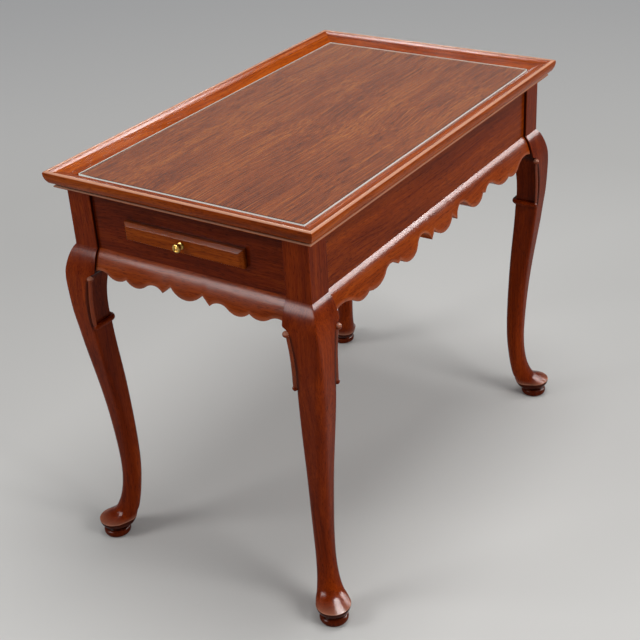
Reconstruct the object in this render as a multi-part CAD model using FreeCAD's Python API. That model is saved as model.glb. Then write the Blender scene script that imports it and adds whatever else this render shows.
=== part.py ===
import FreeCAD, Part
import math
import os

# Tea table on cabriole legs, with a moulded tray top under glass and a candle slide at each short end.
# Millimetres. The origin is on the floor under the middle of the table, X runs along its length,
# Y along its width and Z up. An inset is a distance in from the outer edge of the tray's rim.

# Overall sizes
top_length = 750.0
top_width = 463.0
leg_height = 538.0          # floor to the crease where the knee leaves the post
frieze_height = 93.0        # crease to the underside of the rim
rim_height = 26.0           # underside of the rim to its crest

# Fits
joint_gap = 0.1             # glued joints, screws and keys in their seats
slide_gap = 0.5             # a slide in its slot and grooves

# Rim moulding, from its lower fillet up over the crest and down to the tray
rim_width = 33.5            # outer edge of the rim to the tray
fillet_inset = 9.0
fillet_height = 3.0
recess_inset = 13.0         # dark recess between the fillet and the ovolo
recess_height = 4.5
ovolo_inset = 5.0           # lower end of the ovolo
ovolo_lift = 1.5            # lower end of the ovolo above the recess
ovolo_bulge = 1.6
bead_radius = 3.6           # crest bead
bead_wrap = 0.78            # how far the bead turns down behind the crest, in radians
quirk_depth = 1.3           # groove between the crest bead and the hollow
quirk_width = 0.6
hollow_width = 12.4
hollow_start = 1.3          # crest down to the start of the hollow
hollow_drop = 4.0           # crest down to the arris at its end
hollow_sag = 0.7
arris_step = 0.8
slope_foot = 3.6            # lower end of the inner slope above the tray
rebate_width = 8.5          # lip of the rim over the board

# Tray board, glass and the loose tongues in the rim's mitres
panel_thickness = 10.5
glass_thickness = 5.0
glass_margin = 2.0          # glass to rim
glass_corner = 2.0
key_length = 20.0           # along the mitre
key_width = 16.0            # across the mitre
key_thickness = 3.0
key_height = 13.0           # key's underside above the rim's underside
key_inset = 12.0

# Posts and rails
post_inset = 22.0
post_size = 42.0
rail_setback = 5.0          # posts stand proud of the rails
rail_thickness = 20.0
tenon_thickness = 8.0
tenon_length = 16.0
tenon_shoulder = 12.0       # above and below the tenon

# Legs. The knee's face is given by drops below the crease and how far it projects there. Each station
# below has its place, its outer face measured in from the post's outer face, its thickness and the
# rounding of its corners. Places: in the instep a rise above the pad's edge, in the shank a share of the
# way from the instep up to the haunch, and in the haunch a drop below the crease.
knee_face = [(0.0, 0.0), (7.0, 5.4), (17.0, 9.6), (28.0, 13.1), (42.0, 16.2)]
knee_arris = 1.0
instep = [(5.0, -18.0, 44.0, 21.5), (16.0, -10.2, 37.6, 18.4), (28.0, -4.7, 33.7, 16.5),
          (44.0, 0.1, 31.1, 15.2), (67.0, 3.6, 30.0, 14.7)]
shank = [(0.084, 5.3, 30.4, 14.8), (0.184, 5.5, 31.1, 13.5), (0.349, 3.4, 32.5, 11.5),
         (0.516, 0.1, 33.9, 9.0), (0.683, -4.9, 36.6, 6.0), (0.851, -10.8, 38.6, 3.5)]
haunch = [(143.0, -15.0, 40.4, 2.0), (113.0, -17.7, 41.3, 1.2), (88.0, -18.2, 42.4, 1.0),
          (72.0, -18.0, 43.8, 1.0), (61.0, -17.7, 46.2, 1.0), (50.0, -17.1, 52.6, 1.0)]

# Pad foot on its disc, with the heel that runs down behind the pad
foot_outset = 7.0           # foot's axis from the post's outer face, outwards
disc_radius = 22.5
disc_height = 14.0
disc_round = 5.0
neck_radius = 20.5
neck_height = 3.0
pad_radius = 27.0
pad_edge_height = 29.0
pad_belly = 1.8             # bulge of the pad's underside
pad_crown = 11.0            # middle of the pad's hollow top above its edge
pad_hollow = 2.6
heel_shift = 7.0            # heel's centre from the foot's axis, inwards
heel_radius = 21.6
heel_rise = 6.0             # above the disc
tail_shift = 2.0
tail_radius = 20.3
tail_rise = 0.5             # above the disc
heel_flat = 0.4             # straight half-side left on the heel's round sections

# Carving on the two inner faces of each leg
eye_radius = 5.5
eye_drop = 45.0             # below the crease
eye_inset = 1.0             # eye's centre from the outer face
eye_depth = 7.5             # eye's centre from the post's inner face
strip_radius = 4.4          # bead along the outer edge of the inner face
strip_inset = 5.2           # bead's centre from the outer face
strip_drop = 56.0           # upper end of the bead, under the eye
roll_radius = 4.5
roll_drop = 130.0
roll_turn = 9.0             # turn of the roll's middle round the leg's inner corner
carving_relief = 3.2        # centre of the bead or the roll above the face

# Skirts. A scallop point is a share of the way from the middle to the post, and a drop below the rail.
# Each step runs from the last point by a line, or by an arc through its two points.
skirt_back_inset = 40.0
skirt_below = 10.0          # face carried straight below the knee's curve
skirt_tenon_drop = 8.0
skirt_tenon_height = 16.0
skirt_tenon_thickness = 8.0
skirt_tenon_length = 10.0
skirt_tenon_inset = 24.0
end_lobe_drop = 40.7
end_scallops = [("cusp", 0.170, 27.0), ("line", 0.251, 39.0), ("arc", 0.340, 32.0, 0.442, 37.2),
                ("arc", 0.543, 42.7, 0.657, 34.7), ("arc", 0.758, 40.1, 0.854, 35.5),
                ("arc", 0.935, 30.7, 1.0, 32.5)]
side_lobe_drop = 42.0
side_scallops = [("cusp", 0.093, 27.7), ("line", 0.132, 38.0), ("arc", 0.200, 20.5, 0.264, 31.0),
                 ("arc", 0.347, 42.7, 0.426, 31.0), ("line", 0.452, 33.5),
                 ("arc", 0.505, 25.5, 0.572, 33.0), ("arc", 0.653, 42.0, 0.723, 38.0),
                 ("arc", 0.785, 42.5, 0.846, 35.0), ("arc", 0.926, 27.0, 1.0, 30.0)]
glue_block_depth = 18.0
glue_block_height = 16.0
glue_block_length = 60.0
end_block_places = (-0.55, 0.55)
side_block_places = (-0.7, 0.0, 0.7)

# Candle slides
slide_rise = 44.0           # middle of the slide above the crease
slide_width = 190.0
slide_thickness = 10.0
slide_middle_gap = 58.0     # inner end of a closed slide to the table's middle
slide_hold = 110.0          # length that stays inside the rail's outer face at full travel
face_lap = 9.5              # face beyond the board, all round
face_thickness = 11.0
face_chamfer = 4.0
tongue_length = 4.0
tongue_thickness = 5.0
peg_radius = 3.0
peg_height = 6.0            # above the board
peg_inset = 25.0            # from the board's edge
stop_gap = 0.3              # peg to rail at full travel

# Brass knobs
knob_face_radius = 6.4
knob_crown_radius = 5.2     # flat of the face, inside its rounded edge
knob_projection = 12.0
knob_face_thickness = 4.0
knob_edge_bulge = 0.8
knob_neck_radius = 3.0
knob_base_radius = 5.6
knob_base_height = 1.8
knob_ring_radius = 3.6      # sunk middle of the face
knob_ring_depth = 1.1
stud_radius = 1.8
stud_length = 20.0

# Runners
runner_height = 36.0
groove_depth = 8.0
runner_wall = 16.0          # wood behind the groove
runner_tenon_length = 6.0
runner_tenon_thickness = 9.0
runner_tenon_height = 22.0

# Corner blocks and their screws
block_thickness = 21.0      # across the brace
block_height = 30.0
block_clear = 1.5           # brace to the post's inner corner
screw_radius = 2.2
head_radius = 4.4
head_height = 2.6
leg_screw_rise = 10.0       # above the block's underside
leg_screw_grip = 20.0       # length in the post
top_screw_offset = 15.0     # along each rail, from the brace's middle
top_screw_grip = 7.0        # length in the tray board

half_length = top_length / 2
half_width = top_width / 2
rim_base = leg_height + frieze_height
post_inner = post_inset + post_size
rail_inset = post_inset + rail_setback
rail_inner = rail_inset + rail_thickness
tray_floor = rim_base + panel_thickness
slide_z = leg_height + slide_rise
slide_length = half_length - rail_inset - slide_middle_gap
slide_travel = slide_length - slide_hold

os.makedirs("parts", exist_ok=True)


def vec(x, y, z):
    return FreeCAD.Vector(x, y, z)


def box(x_range, y_range, z_range):
    low = vec(x_range[0], y_range[0], z_range[0])
    return Part.makeBox(x_range[1] - x_range[0], y_range[1] - y_range[0], z_range[1] - z_range[0], low)


def line(start, end):
    return Part.LineSegment(start, end).toShape()


def arc(start, middle, end):
    return Part.Arc(start, middle, end).toShape()


# An arc in an XZ plane whose middle stands off its chord, to the left of the way from start to end.
def bowed(start, end, bulge):
    chord = (end - start).normalize()
    return arc(start, (start + end) * 0.5 + vec(-chord.z, 0, chord.x) * bulge, end)


def prism(points, z_low, z_high):
    ring = [vec(x, y, z_low) for x, y in points]
    return Part.Face(Part.makePolygon(ring + ring[:1])).extrude(vec(0, 0, z_high - z_low))


def mirror_across(shape):
    return shape.mirror(vec(0, 0, 0), vec(0, 1, 0))


def mirror_diagonal(shape):
    return shape.mirror(vec(0, 0, 0), vec(1, -1, 0))


def save(name, shape):
    shape.exportStep("parts/" + name + ".step")


# The four corners, turned from the one at -X, -Y, where local x and y are the two insets.
corners = {"front_left": 0, "front_right": 90, "back_right": 180, "back_left": 270}


def to_corner(shape, angle):
    placed = shape.copy()
    placed.rotate(vec(0, 0, 0), vec(0, 0, 1), angle)
    side_x = 1 if angle in (90, 180) else -1
    side_y = 1 if angle in (180, 270) else -1
    placed.translate(vec(side_x * half_length, side_y * half_width, 0))
    return placed


# The four sides, turned from the short end at -X, where local x is the inset and y runs along the end.
sides = {"left": 0, "front": 90, "right": 180, "back": 270}
ends = ("left", "right")


def side_reach(name):
    return half_width if name in ends else half_length


def to_side(shape, name):
    placed = shape.copy()
    placed.translate(vec(-half_length if name in ends else -half_width, 0, 0))
    placed.rotate(vec(0, 0, 0), vec(0, 0, 1), sides[name])
    return placed


# A screw has a countersunk head at its start and a plain shank. The gap grows it into its hole.
def screw(start, direction, length, gap=0.0):
    head = Part.makeCone(head_radius + gap, screw_radius + gap, head_height, start, direction)
    return head.fuse(Part.makeCylinder(screw_radius + gap, length + gap, start, direction)).removeSplitter()


# Corner brace: a bar at 45 degrees between two rails, clear of the post, screwed to it and to the board.
brace_near = 2 * post_inner + block_clear * math.sqrt(2)
brace_far = brace_near + block_thickness * math.sqrt(2)
brace_middle = (brace_near + brace_far) / 4
block_base = rim_base - block_height
leg_screw_start = vec(brace_far / 2, brace_far / 2, block_base + leg_screw_rise)
leg_screw_length = (brace_far / 2 - post_inner) * math.sqrt(2) + leg_screw_grip
top_screw_start = vec(brace_middle + top_screw_offset, brace_middle - top_screw_offset, block_base)


def leg_screw(gap):
    return screw(leg_screw_start, vec(-1, -1, 0), leg_screw_length, gap)


def top_screws(gap):
    first = screw(top_screw_start, vec(0, 0, 1), block_height + top_screw_grip, gap)
    return [first, mirror_diagonal(first)]


# Tenons of a rail and of a skirt, which enter a post along Y. The gap grows them into their mortises.
tenon_inset = rail_inset + (rail_thickness - tenon_thickness) / 2
skirt_tenon_top = leg_height - skirt_tenon_drop


def rail_tenon(gap):
    return box((tenon_inset - gap, tenon_inset + tenon_thickness + gap),
               (post_inner - tenon_length - gap, post_inner),
               (leg_height + tenon_shoulder - gap, rim_base - tenon_shoulder + gap))


def skirt_tenon(gap):
    return box((skirt_tenon_inset - gap, skirt_tenon_inset + skirt_tenon_thickness + gap),
               (post_inner - skirt_tenon_length - gap, post_inner),
               (skirt_tenon_top - skirt_tenon_height - gap, skirt_tenon_top + gap))


# Legs
knee_drop, knee_projection = knee_face[-1]
knee_station = (knee_drop, -knee_projection, post_size + knee_projection, knee_arris)
ankle_height = pad_edge_height + instep[-1][0]
shank_span = leg_height - haunch[0][0] - ankle_height
foot_axis = post_inset - foot_outset
neck_top = disc_height + neck_height


def rounded_square(outer, inner, radius, height):
    half = (inner - outer) / 2
    middle = (inner + outer) / 2
    flat = half - radius
    crown = flat + radius * math.sqrt(0.5)
    edges = []
    for cos, sin in ((1, 0), (0, 1), (-1, 0), (0, -1)):
        at = lambda x, y: vec(middle + x * cos - y * sin, middle + x * sin + y * cos, height)
        edges.append(arc(at(half, flat), at(crown, crown), at(flat, half)))
        edges.append(line(at(flat, half), at(-flat, half)))
    return Part.Wire(edges)


def round_section(centre, radius, height):
    return rounded_square(centre - radius, centre + radius, radius - heel_flat, height)


def make_shank():
    sections = [round_section(foot_axis + tail_shift, tail_radius, disc_height + tail_rise),
                round_section(foot_axis + heel_shift, heel_radius, disc_height + heel_rise)]
    heights = [pad_edge_height + station[0] for station in instep]
    heights += [ankle_height + station[0] * shank_span for station in shank]
    heights += [leg_height - station[0] for station in haunch + [knee_station]]
    for height, station in zip(heights, instep + shank + haunch + [knee_station]):
        face = post_inset + station[1]
        sections.append(rounded_square(face, face + station[2], station[3], height))
    return Part.makeLoft(sections, True, False)


def make_knee():
    sections = [rounded_square(post_inset - projection, post_inner, knee_arris, leg_height - drop)
                for drop, projection in reversed(knee_face)]
    return Part.makeLoft(sections, True, False)


def make_foot():
    at = lambda radius, height: vec(foot_axis + radius, foot_axis, height)
    round_top = disc_height - disc_round
    round_start = disc_radius - disc_round
    round_bulge = disc_round * (1 - math.sqrt(0.5))
    profile = [line(at(0, 0), at(round_start, 0)),
               bowed(at(round_start, 0), at(disc_radius, disc_round), -round_bulge),
               line(at(disc_radius, disc_round), at(disc_radius, round_top)),
               bowed(at(disc_radius, round_top), at(round_start, disc_height), -round_bulge),
               line(at(round_start, disc_height), at(neck_radius, neck_top)),
               bowed(at(neck_radius, neck_top), at(pad_radius, pad_edge_height), -pad_belly),
               bowed(at(pad_radius, pad_edge_height), at(0, pad_edge_height + pad_crown), pad_hollow),
               line(at(0, pad_edge_height + pad_crown), at(0, 0))]
    return Part.Face(Part.Wire(profile)).revolve(at(0, 0), vec(0, 0, 1), 360)


# Outer and inner faces of the haunch at a drop below the crease, between the two nearest stations.
def haunch_faces(drop):
    stations = haunch + [knee_station]
    for lower, upper in zip(stations, stations[1:]):
        if drop > upper[0]:
            break
    blend = (lower[0] - drop) / (lower[0] - upper[0])
    outer = post_inset + lower[1] + blend * (upper[1] - lower[1])
    return outer, outer + lower[2] + blend * (upper[2] - lower[2])


# Bead and eye on the inner face that looks along +Y, for the leg at -X, -Y.
def make_strip():
    path = []
    for drop in (strip_drop, (strip_drop + roll_drop) / 2, roll_drop):
        outer, inner = haunch_faces(drop)
        path.append(vec(outer + strip_inset, inner + carving_relief, leg_height - drop))
    ring = Part.Wire(Part.makeCircle(strip_radius, path[0], path[1] - path[0]))
    return Part.Wire(arc(*path)).makePipeShell([ring], True, False)


def make_eye():
    outer = haunch_faces(eye_drop)[0]
    centre = vec(outer + eye_inset, post_inner - eye_depth, leg_height - eye_drop)
    return Part.makeSphere(eye_radius, centre)


# Roll across both inner faces, turning round the inner corner.
def make_roll():
    outer, inner = haunch_faces(roll_drop)
    axis = inner + carving_relief
    turn = axis - roll_turn
    crown = turn + roll_turn * math.sqrt(0.5)
    at = lambda x, y: vec(x, y, leg_height - roll_drop)
    path = Part.Wire([line(at(outer, axis), at(turn, axis)),
                      arc(at(turn, axis), at(crown, crown), at(axis, turn)),
                      line(at(axis, turn), at(axis, outer))])
    ring = Part.Wire(Part.makeCircle(roll_radius, at(outer, axis), vec(1, 0, 0)))
    return path.makePipeShell([ring], True, False)


leg = box((post_inset, post_inner), (post_inset, post_inner), (leg_height, rim_base))
for piece in (make_knee(), make_shank(), make_foot()):
    leg = leg.fuse(piece)
for piece in (make_strip(), make_eye()):
    leg = leg.fuse(piece).fuse(mirror_diagonal(piece))
leg = leg.fuse(make_roll())
for tenon in (rail_tenon(joint_gap), skirt_tenon(joint_gap)):
    leg = leg.cut(tenon).cut(mirror_diagonal(tenon))
leg = leg.cut(leg_screw(joint_gap))
for name, angle in corners.items():
    save("leg_" + name, to_corner(leg, angle))

# Rails. The short ones have a slot for the slide and mortises for the runners.
slot_half_width = slide_width / 2 + slide_gap
slot_half_height = slide_thickness / 2 + slide_gap
runner_tenon_low = slot_half_width + (runner_wall - runner_tenon_thickness) / 2


def runner_tenon(gap):
    return box((rail_inner - runner_tenon_length - gap, rail_inner),
               (runner_tenon_low - gap, runner_tenon_low + runner_tenon_thickness + gap),
               (slide_z - runner_tenon_height / 2 - gap, slide_z + runner_tenon_height / 2 + gap))


for name in sides:
    reach = side_reach(name)
    rail = box((rail_inset, rail_inner), (post_inner - reach, reach - post_inner), (leg_height, rim_base))
    tenon = rail_tenon(0.0)
    tenon.translate(vec(0, -reach, 0))
    rail = rail.fuse(tenon).fuse(mirror_across(tenon))
    if name in ends:
        slot = box((rail_inset, rail_inner), (-slot_half_width, slot_half_width),
                   (slide_z - slot_half_height, slide_z + slot_half_height))
        mortise = runner_tenon(joint_gap)
        rail = rail.cut(slot).cut(mortise).cut(mirror_across(mortise))
    save("rail_" + name, to_side(rail.removeSplitter(), name))


# Skirts: the knee's rounded face carried along under the rail, cut to the scalloped outline.
def skirt_blank(reach):
    start = post_inner - reach
    face = [vec(rail_inset - projection, start, leg_height - drop) for drop, projection in knee_face]
    face_curve = Part.BSplineCurve()
    face_curve.interpolate(face)
    low_front = face[-1] - vec(0, 0, skirt_below)
    low_back = vec(skirt_back_inset, start, low_front.z)
    top_back = vec(skirt_back_inset, start, leg_height)
    edges = [face_curve.toShape(), line(face[-1], low_front), line(low_front, low_back),
             line(low_back, top_back), line(top_back, face[0])]
    return Part.Face(Part.Wire(edges)).extrude(vec(0, -2 * start, 0))


def scallop_cutter(reach, lobe_drop, steps):
    at = lambda share, drop: vec(0, share * (reach - post_inner), leg_height - drop)
    flip = lambda point: vec(0, -point.y, point.z)
    here = at(*steps[0][1:])
    edges = [arc(flip(here), at(0, lobe_drop), here)]
    for kind, *numbers in steps[1:]:
        points = [here] + [at(*pair) for pair in zip(numbers[::2], numbers[1::2])]
        join = line if kind == "line" else arc
        edges.append(join(*points))
        edges.append(join(*[flip(point) for point in points]))
        here = points[-1]
    top = vec(0, here.y, leg_height)
    edges += [line(here, top), line(top, flip(top)), line(flip(top), flip(here))]
    outline = Part.Wire(Part.__sortEdges__(edges))
    return Part.Face(outline).extrude(vec(skirt_back_inset, 0, 0))


for name in sides:
    reach = side_reach(name)
    cutter = (scallop_cutter(reach, end_lobe_drop, end_scallops) if name in ends
              else scallop_cutter(reach, side_lobe_drop, side_scallops))
    tenon = skirt_tenon(0.0)
    tenon.translate(vec(0, -reach, 0))
    skirt = skirt_blank(reach).common(cutter).fuse(tenon).fuse(mirror_across(tenon))
    save("skirt_" + name, to_side(skirt.removeSplitter(), name))

# Glue blocks behind the skirts, under the rails
glue_blocks = []
for name in sides:
    for place in end_block_places if name in ends else side_block_places:
        middle = place * (side_reach(name) - post_inner)
        block = box((skirt_back_inset, skirt_back_inset + glue_block_depth),
                    (middle - glue_block_length / 2, middle + glue_block_length / 2),
                    (leg_height - glue_block_height, leg_height))
        glue_blocks.append(to_side(block, name))
save("skirt_blocks", Part.makeCompound(glue_blocks))

# Runners
runner_reach = half_length - rail_inner
runner = box((-runner_reach, runner_reach), (slot_half_width - groove_depth, slot_half_width + runner_wall),
             (slide_z - runner_height / 2, slide_z + runner_height / 2))
groove = box((-runner_reach, runner_reach), (slot_half_width - groove_depth, slot_half_width),
             (slide_z - slot_half_height, slide_z + slot_half_height))
runner = runner.cut(groove).fuse(to_side(runner_tenon(0.0), "left"))
runner = runner.fuse(to_side(mirror_across(runner_tenon(0.0)), "right")).removeSplitter()
save("runner_back", runner)
save("runner_front", mirror_across(runner))


# Candle slides: board with a tongue, face grooved for it, stop pegs and knob.
def slide_tongue(gap):
    return box((rail_inset - tongue_length - gap, rail_inset),
               (-slide_width / 2 - gap, slide_width / 2 + gap),
               (slide_z - tongue_thickness / 2 - gap, slide_z + tongue_thickness / 2 + gap))


board = box((rail_inset, rail_inset + slide_length), (-slide_width / 2, slide_width / 2),
            (slide_z - slide_thickness / 2, slide_z + slide_thickness / 2)).fuse(slide_tongue(0.0))
peg_x = rail_inner + slide_travel + stop_gap + peg_radius
pegs = []
for side in (-1, 1):
    seat = vec(peg_x, side * (slide_width / 2 - peg_inset), slide_z - slide_thickness / 2)
    pegs.append(Part.makeCylinder(peg_radius, slide_thickness + peg_height, seat))
    board = board.cut(Part.makeCylinder(peg_radius + joint_gap, slide_thickness, seat))

face_front = rail_inset - face_thickness
face_half_width = slide_width / 2 + face_lap
face_half_height = slide_thickness / 2 + face_lap
face = box((face_front, rail_inset), (-face_half_width, face_half_width),
           (slide_z - face_half_height, slide_z + face_half_height))
front_edges = [edge for edge in face.Edges if edge.BoundBox.XMax - face_front < joint_gap]
face = face.makeChamfer(face_chamfer, front_edges).cut(slide_tongue(joint_gap))

knob_at = lambda radius, out: vec(face_front - out, 0, slide_z + radius)
knob_shoulder = knob_projection - knob_face_thickness
knob_ring_floor = knob_projection - knob_ring_depth
knob_profile = [line(knob_at(0, -stud_length), knob_at(stud_radius, -stud_length)),
                line(knob_at(stud_radius, -stud_length), knob_at(stud_radius, 0)),
                line(knob_at(stud_radius, 0), knob_at(knob_base_radius, 0)),
                line(knob_at(knob_base_radius, 0), knob_at(knob_base_radius, knob_base_height)),
                arc(knob_at(knob_base_radius, knob_base_height), knob_at(knob_neck_radius, knob_shoulder / 2),
                    knob_at(knob_face_radius, knob_shoulder)),
                bowed(knob_at(knob_face_radius, knob_shoulder), knob_at(knob_crown_radius, knob_projection),
                      -knob_edge_bulge),
                line(knob_at(knob_crown_radius, knob_projection), knob_at(knob_ring_radius, knob_projection)),
                line(knob_at(knob_ring_radius, knob_projection), knob_at(knob_ring_radius, knob_ring_floor)),
                line(knob_at(knob_ring_radius, knob_ring_floor), knob_at(0, knob_ring_floor)),
                line(knob_at(0, knob_ring_floor), knob_at(0, -stud_length))]
knob = Part.Face(Part.Wire(knob_profile)).revolve(knob_at(0, 0), vec(1, 0, 0), 360)
stud_hole = Part.makeCylinder(stud_radius + joint_gap, stud_length + joint_gap, knob_at(0, 0), vec(1, 0, 0))
for name in ends:
    save("slide_board_" + name, to_side(board.cut(stud_hole).removeSplitter(), name))
    save("slide_face_" + name, to_side(face.cut(stud_hole), name))
    save("stop_pegs_" + name, to_side(Part.makeCompound(pegs), name))
    save("knob_" + name, to_side(knob, name))

# Corner blocks and their screws
block_plan = [(rail_inner, brace_near - rail_inner), (brace_near - rail_inner, rail_inner),
              (brace_far - rail_inner, rail_inner), (rail_inner, brace_far - rail_inner)]
corner_block = prism(block_plan, block_base, rim_base)
for hole in [leg_screw(joint_gap)] + top_screws(joint_gap):
    corner_block = corner_block.cut(hole)
for name, angle in corners.items():
    save("corner_block_" + name, to_corner(corner_block, angle))
save("leg_screws", Part.makeCompound([to_corner(leg_screw(0.0), angle) for angle in corners.values()]))
save("top_screws", Part.makeCompound([to_corner(piece, angle) for angle in corners.values()
                                      for piece in top_screws(0.0)]))

# Tray board and glass
panel_inset = rim_width - rebate_width
panel = box((panel_inset - half_length, half_length - panel_inset),
            (panel_inset - half_width, half_width - panel_inset), (rim_base, tray_floor))
for angle in corners.values():
    for hole in top_screws(joint_gap):
        panel = panel.cut(to_corner(hole, angle))
save("top_panel", panel)
glass_inset = rim_width + glass_margin
glass = box((glass_inset - half_length, half_length - glass_inset),
            (glass_inset - half_width, half_width - glass_inset), (tray_floor, tray_floor + glass_thickness))
upright_edges = [edge for edge in glass.Edges if edge.BoundBox.ZLength > glass_thickness / 2]
save("glass_sheet", glass.makeFillet(glass_corner, upright_edges))


# Loose tongue across the mitre at -X, -Y. The gap grows it into its slots.
def mitre_key(gap):
    across = (key_width / 2 + gap) / math.sqrt(2)
    start = key_inset - gap / math.sqrt(2)
    end = key_inset + (key_length + gap) / math.sqrt(2)
    plan = [(start - across, start + across), (start + across, start - across),
            (end + across, end - across), (end - across, end + across)]
    base = rim_base + key_height
    return prism(plan, base - gap, base + key_thickness + gap)


# Rim: one moulding section, run along each side and mitred at the corners.
rim_at = lambda inset, height: vec(inset, 0, rim_base + height)
recess_top = fillet_height + recess_height
ovolo_low = rim_at(ovolo_inset, recess_top + ovolo_lift)
bead_middle = rim_height - bead_radius
bead_end = rim_at(bead_radius + bead_radius * math.sin(bead_wrap),
                  bead_middle + bead_radius * math.cos(bead_wrap))
quirk = bead_end + vec(0, 0, -quirk_depth)
hollow_from = rim_at(bead_end.x + quirk_width, rim_height - hollow_start)
hollow_to = rim_at(hollow_from.x + hollow_width, rim_height - hollow_drop)
slope_from = hollow_to - vec(0, 0, arris_step)
slope_to = rim_at(rim_width, panel_thickness + slope_foot)
stops = [rim_at(fillet_inset, 0), rim_at(fillet_inset, fillet_height), rim_at(recess_inset, fillet_height),
         rim_at(recess_inset, recess_top), ovolo_low]
rim_section = [line(start, end) for start, end in zip(stops, stops[1:])]
rim_section += [bowed(ovolo_low, rim_at(0, bead_middle), ovolo_bulge),
                arc(rim_at(0, bead_middle), rim_at(bead_radius, rim_height), bead_end),
                line(bead_end, quirk), line(quirk, hollow_from), bowed(hollow_from, hollow_to, -hollow_sag)]
stops = [hollow_to, slope_from, slope_to, rim_at(rim_width, panel_thickness),
         rim_at(panel_inset, panel_thickness), rim_at(panel_inset, 0), rim_at(fillet_inset, 0)]
rim_section += [line(start, end) for start, end in zip(stops, stops[1:])]
rim_face = Part.Face(Part.Wire(rim_section))
for name in sides:
    reach = side_reach(name)
    strip = rim_face.extrude(vec(0, 2 * reach, 0))
    strip.translate(vec(0, -reach, 0))
    mitre_plan = [(0, -reach), (rim_width, rim_width - reach), (rim_width, reach - rim_width), (0, reach)]
    rim = to_side(strip.common(prism(mitre_plan, rim_base, rim_base + rim_height)), name)
    for angle in corners.values():
        rim = rim.cut(to_corner(mitre_key(joint_gap), angle))
    save("rim_" + name, rim)
save("mitre_keys", Part.makeCompound([to_corner(mitre_key(0.0), angle) for angle in corners.values()]))
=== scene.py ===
import math

import bmesh
import bpy
from mathutils import Matrix, Vector


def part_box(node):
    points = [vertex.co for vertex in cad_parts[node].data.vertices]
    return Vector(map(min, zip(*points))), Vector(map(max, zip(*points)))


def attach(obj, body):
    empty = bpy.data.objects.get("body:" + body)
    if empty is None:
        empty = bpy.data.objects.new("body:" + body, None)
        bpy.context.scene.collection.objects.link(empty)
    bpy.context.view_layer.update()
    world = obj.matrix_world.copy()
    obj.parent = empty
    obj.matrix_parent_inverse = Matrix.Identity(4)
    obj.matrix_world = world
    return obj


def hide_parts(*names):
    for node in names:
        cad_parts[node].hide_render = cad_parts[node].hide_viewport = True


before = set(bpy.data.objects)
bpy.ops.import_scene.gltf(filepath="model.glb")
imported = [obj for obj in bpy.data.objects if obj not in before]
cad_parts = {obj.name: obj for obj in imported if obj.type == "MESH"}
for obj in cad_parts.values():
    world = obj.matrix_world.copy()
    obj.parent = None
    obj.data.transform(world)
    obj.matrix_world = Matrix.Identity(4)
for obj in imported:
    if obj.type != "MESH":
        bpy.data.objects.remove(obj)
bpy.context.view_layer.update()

# Cabriole legs: each is sawn and carved from one length of mahogany, square in the post, swelling to the
# knee, slim at the ankle and ending in a dished pad foot on a turned disc. A bead, an eye and a roll are
# carved on its inner faces. The rails and skirts are tenoned into it. Sizes are in millimetres.
half_length = 375.0
half_width = 231.5
leg_height = 538.0
post_top = 631.0
post_outer = 22.0
post_inner = 64.0
post_round = 0.9

# Height, outer and inner face, measured in from the edge of the top, and the rounding of the inner corner,
# of the two side corners, which make room for the carved bead, and of the outer corner.
shank = [(45, 11.8, 49.4, 17.0, 17.0, 14.5), (57, 17.3, 51.0, 15.2, 15.2, 13.5),
         (73, 22.1, 53.2, 14.4, 14.4, 13.0), (96, 25.6, 55.6, 14.2, 14.2, 13.0),
         (121, 27.3, 57.7, 14.0, 14.0, 13.0), (151, 27.5, 58.6, 13.2, 13.2, 13.0),
         (200, 25.4, 57.9, 11.5, 11.5, 13.0), (250, 22.1, 56.0, 9.5, 9.5, 13.2),
         (300, 17.1, 53.7, 7.0, 7.0, 13.4), (350, 11.2, 49.8, 4.5, 4.5, 13.2),
         (380, 8.2, 48.0, 3.4, 3.6, 12.6), (398, 6.8, 47.3, 2.6, 3.6, 12.0),
         (408, 5.9, 46.6, 2.2, 3.8, 11.4), (425, 4.3, 45.6, 2.0, 3.8, 10.4),
         (450, 3.8, 46.2, 1.5, 3.8, 8.0), (466, 4.0, 47.8, 1.4, 3.0, 5.6),
         (477, 4.3, 49.6, 1.3, 2.4, 3.8), (488, 4.9, 51.6, 1.2, 2.0, 2.4),
         (496, 5.8, 54.0, 1.0, 1.6, 1.6), (499.5, 6.5, 58.0, 1.0, 1.4, 1.4),
         (501.5, 6.9, 63.4, 1.0, 1.0, 1.2), (503.5, 7.4, 64.0, 1.0, 1.0, 1.2),
         (510, 8.9, 64.0, 1.0, 1.0, 1.0), (521, 12.4, 64.0, 1.0, 1.0, 1.0),
         (531, 16.6, 64.0, 1.0, 1.0, 1.0), (536.4, 20.6, 64.0, 1.0, 1.0, 1.0)]
post = [(height, post_outer, post_inner, post_round, post_round, post_round)
        for height in (leg_height, leg_height + 1.6, post_top - 2, post_top)]

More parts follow.
